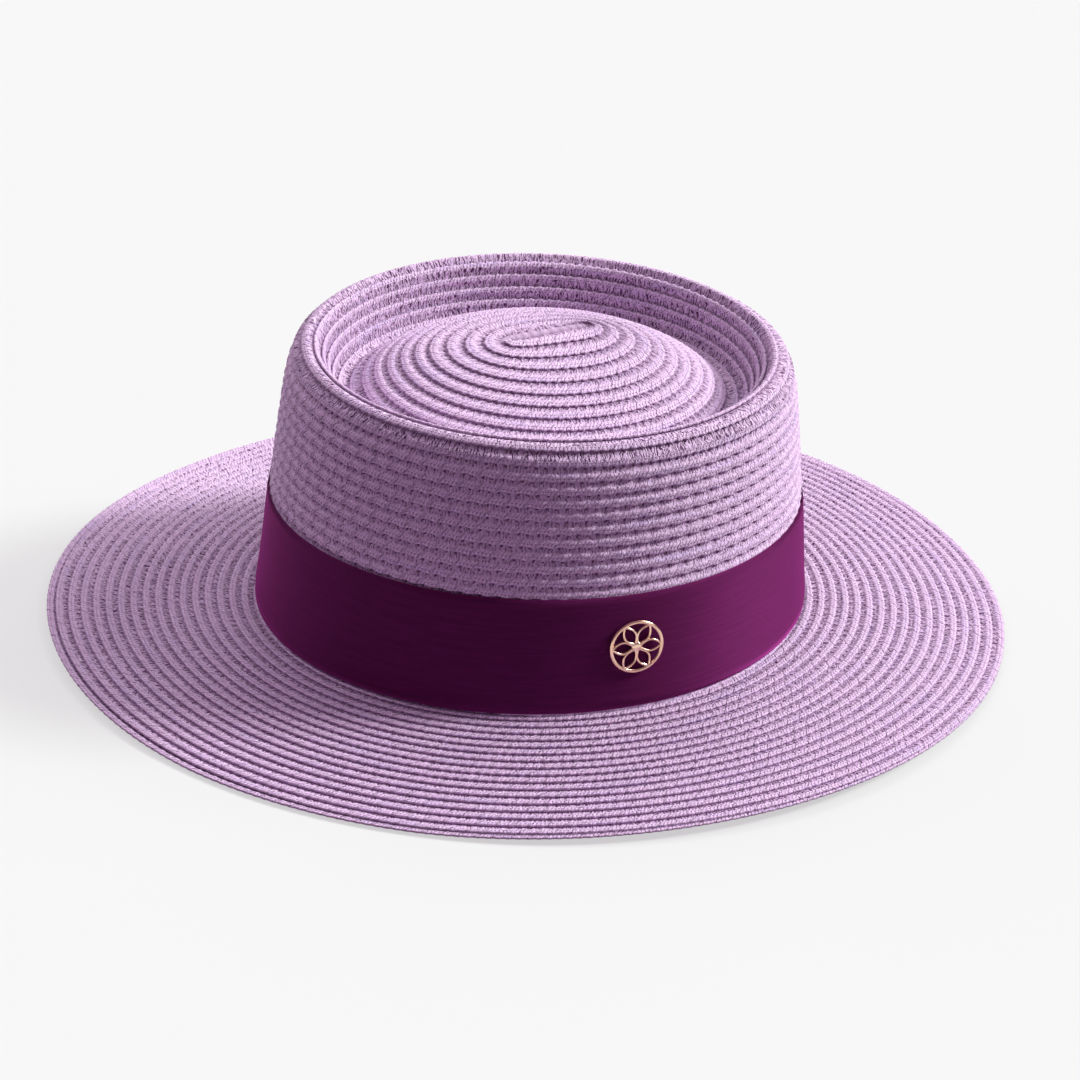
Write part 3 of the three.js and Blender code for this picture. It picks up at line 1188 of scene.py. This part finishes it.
@dataclass
class Badge:
    """A round openwork badge: a ring, six petals drawn in wire and a domed hub.

    Lengths are in millimetres and angles in radians.
    """

    surface: CrownSurface = field(default_factory=CrownSurface)
    node: str = "badge"
    arc: float = math.radians(17)
    height: float = 34.4
    lean: float = math.radians(6)
    radius: float = 9.95
    ring: float = 1.35
    depth: float = 1.0
    petals: int = 6
    petal_half_width: float = 2.15
    petal_steps: int = 28
    wire: float = 0.95
    hub: float = 1.9
    stand_off: float = 1.75

    def build(self, gold: bpy.types.Material) -> bpy.types.Object:
        """Makes the badge where its node is.

        Args:
            gold: the metal finish.

        Returns:
            The badge.
        """
        bm = bmesh.new()
        self.add_ring(bm)
        for index in range(self.petals):
            self.add_petal(bm, 2 * math.pi * index / self.petals)
        self.add_hub(bm)
        bmesh.ops.transform(bm, matrix=self.placing(), verts=bm.verts)
        piece = MeshPiece.finish(bm, "round_badge")
        dress(piece, gold)
        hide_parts(self.node)
        return piece

    def placing(self) -> Matrix:
        """Works out how the badge stands against the band.

        Returns:
            The turn, the shift and the change from millimetres to metres.
        """
        course = np.array([self.surface.course_at_height(self.height)])
        seat = self.surface.point(course, np.array([self.arc]))[0]
        place = np.interp(course, self.surface.courses, self.surface.section.places)
        half_width, half_length, _ = self.surface.section.at(place)
        facing = math.atan2(
            math.sin(self.arc) / half_length[0], math.cos(self.arc) / half_width[0]
        )
        out = Vector(
            (
                math.cos(facing) * math.cos(self.lean),
                math.sin(facing) * math.cos(self.lean),
                math.sin(self.lean),
            )
        )
        side = Vector((-math.sin(facing), math.cos(facing), 0))
        up = out.cross(side)
        turn = Matrix((side, up, out)).transposed().to_4x4()
        centre = (Vector(seat) + out * self.stand_off) * MM
        return Matrix.Translation(centre) @ turn @ Matrix.Scale(MM, 4)

    @staticmethod
    def edges_of(verts: list[bmesh.types.BMVert]) -> list[bmesh.types.BMEdge]:
        """Returns the edges of a circle, each once and in the order they were made."""
        return list(dict.fromkeys(edge for vert in verts for edge in vert.link_edges))

    def add_ring(self, bm: bmesh.types.BMesh) -> None:
        """Adds the ring by spinning its rounded section.

        Args:
            bm: the badge so far.
        """
        turn = Matrix.Rotation(math.pi / 2, 4, "X")
        shape = Matrix.Diagonal((self.ring / self.depth, 1, 1, 1))
        middle = Matrix.Translation((self.radius - self.ring / 2, 0, 0))
        section = bmesh.ops.create_circle(
            bm, segments=12, radius=self.depth / 2, matrix=middle @ shape @ turn
        )["verts"]
        edges = self.edges_of(section)
        bmesh.ops.spin(
            bm,
            geom=section + edges,
            cent=(0, 0, 0),
            axis=(0, 0, 1),
            angle=2 * math.pi,
            steps=72,
            use_merge=True,
            use_duplicate=False,
        )

    def add_petal(self, bm: bmesh.types.BMesh, angle: float) -> None:
        """Adds one pointed petal outline as a closed wire from the hub to the ring.

        Args:
            bm: the badge so far.
            angle: the petal's place round the badge.
        """
        start = self.hub * 0.6
        reach = self.radius - self.ring * 0.75
        steps = self.petal_steps
        points = []
        for k in range(steps):
            walked = 2 * k / steps
            side = 1 if walked < 1 else -1
            along = walked if walked < 1 else 2 - walked
            width = side * self.petal_half_width * math.sin(math.pi * along) ** 0.85
            points.append(Vector((start + (reach - start) * along, width, 0)))
        turn = Matrix.Rotation(angle, 4, "Z")
        rings = []
        for k, point in enumerate(points):
            ahead = (points[(k + 1) % steps] - points[k - 1]).normalized()
            place = Matrix.Translation(point) @ ahead.to_track_quat("Z", "Y").to_matrix().to_4x4()
            made = bmesh.ops.create_circle(
                bm, segments=8, radius=self.wire / 2, matrix=turn @ place
            )["verts"]
            rings.append(self.edges_of(made))
        for k in range(steps):
            bmesh.ops.bridge_loops(bm, edges=rings[k] + rings[(k + 1) % steps])

    def add_hub(self, bm: bmesh.types.BMesh) -> None:
        """Adds the domed hub."""
        dome = Matrix.Diagonal((1, 1, self.depth * 0.62 / self.hub, 1))
        bmesh.ops.create_uvsphere(
            bm, u_segments=24, v_segments=12, radius=self.hub, matrix=dome
        )


@dataclass(frozen=True)
class Lamp:
    """A soft lamp far away: degrees round from the camera, degrees up, softness, strength."""

    name: str
    round: float
    up: float
    softness: float
    strength: float
    colour: tuple[float, float, float] = (1.0, 1.0, 1.0)


@dataclass
class Studio:
    """Floor, soft lamps, pale surroundings and the camera.

    Lengths are in metres and angles in degrees. The focal length and the place of the
    optical axis are in the photograph's pixels, the sensor's width in millimetres.
    """

    floor_half_size: float = 6.0
    distance: float = 1.176
    azimuth: float = 84.27
    elevation: float = 29.44
    roll: float = 2.98
    photo_pixels: float = 1080.0
    focal_pixels: float = 3219.3
    centre_pixel: tuple[float, float] = (534.9, 513.0)
    sensor: float = 36.0
    aim: Vector = field(default_factory=lambda: Vector((0, 0, 0.040)))
    lamps: tuple[Lamp, ...] = (
        Lamp("key", 100.0, 36.0, 12.0, 2.65),
        Lamp("key_wide", 108.0, 40.0, 34.0, 1.25),
        Lamp("overhead", 60.0, 82.0, 60.0, 0.08),
        Lamp("back", 175.0, 50.0, 40.0, 0.75),
        Lamp("back_left", 235.0, 45.0, 40.0, 0.68, (1.0, 0.93, 1.0)),
        Lamp("left", 270.0, 30.0, 40.0, 0.10, (1.0, 0.70, 0.98)),
    )
    sky: float = 0.215
    sky_colour: tuple[float, float, float] = (1.0, 0.66, 0.97)

    def build(self) -> None:
        """Sets the stage."""
        self.floor()
        self.lights()
        self.camera()

    def floor(self) -> None:
        """Lays a plain floor at the height that the hat rests on."""
        bm = bmesh.new()
        bmesh.ops.create_grid(bm, x_segments=1, y_segments=1, size=self.floor_half_size)
        mesh = bpy.data.meshes.new("floor")
        bm.to_mesh(mesh)
        bm.free()
        floor = bpy.data.objects.new("floor", mesh)
        floor.data.materials.append(FloorFinish().material())
        floor.visible_diffuse = False
        bpy.context.scene.collection.objects.link(floor)

    def towards(self, turn: float, up: float) -> Vector:
        """Points from the hat towards a lamp or the camera.

        Args:
            turn: degrees round from the camera.
            up: degrees above the floor.

        Returns:
            The direction, of length 1.
        """
        a, e = math.radians(self.azimuth + turn), math.radians(up)
        return Vector((math.sin(a) * math.cos(e), -math.cos(a) * math.cos(e), math.sin(e)))

    def lights(self) -> None:
        """Adds the lamps and an even pale sky."""
        for lamp in self.lamps:
            data = bpy.data.lights.new(lamp.name, "SUN")
            data.energy = lamp.strength
            data.color = lamp.colour
            data.angle = math.radians(lamp.softness)
            light = bpy.data.objects.new(lamp.name, data)
            towards = self.towards(lamp.round, lamp.up)
            light.rotation_euler = towards.to_track_quat("Z", "Y").to_euler()
            bpy.context.scene.collection.objects.link(light)
        world = bpy.data.worlds.new("studio")
        world.use_nodes = True
        sky = world.node_tree.nodes["Background"]
        sky.inputs["Color"].default_value = (*self.sky_colour, 1)
        sky.inputs["Strength"].default_value = self.sky
        bpy.context.scene.world = world
        bpy.context.scene.view_settings.view_transform = "Standard"

    def camera(self) -> None:
        """Stands the camera where the photograph was taken from."""
        back = self.towards(0.0, self.elevation)
        middle = self.photo_pixels / 2
        data = bpy.data.cameras.new("camera")
        data.sensor_width = self.sensor
        data.lens = self.focal_pixels / self.photo_pixels * self.sensor
        data.clip_start, data.clip_end = 0.05, 20
        turn = (-back).to_track_quat("-Z", "Y").to_matrix()
        pan = math.atan((self.centre_pixel[0] - middle) / self.focal_pixels)
        tilt = math.atan((self.centre_pixel[1] - middle) / self.focal_pixels)
        turn = turn @ Matrix.Rotation(math.radians(self.roll), 3, "Z")
        turn = turn @ Matrix.Rotation(pan, 3, "Y") @ Matrix.Rotation(tilt, 3, "X")
        camera = bpy.data.objects.new("camera", data)
        place = Matrix.Translation(self.aim + back * self.distance)
        camera.matrix_world = place @ turn.to_4x4()
        bpy.context.scene.collection.objects.link(camera)
        bpy.context.scene.camera = camera


def main() -> None:
    """Builds the hat piece by piece."""
    logging.basicConfig(level=logging.INFO, format="%(name)s: %(message)s")
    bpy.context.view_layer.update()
    Studio().build()
    pieces = [
        *StrawCrown().build(),
        *StrawBrim().build(),
        RibbonBand().build(RibbonFinish().material()),
        Badge().build(GoldFinish().material()),
    ]
    for piece in pieces:
        LOG.info("%s: %d faces", piece.name, len(piece.data.polygons))


if __name__ == "__main__":
    main()
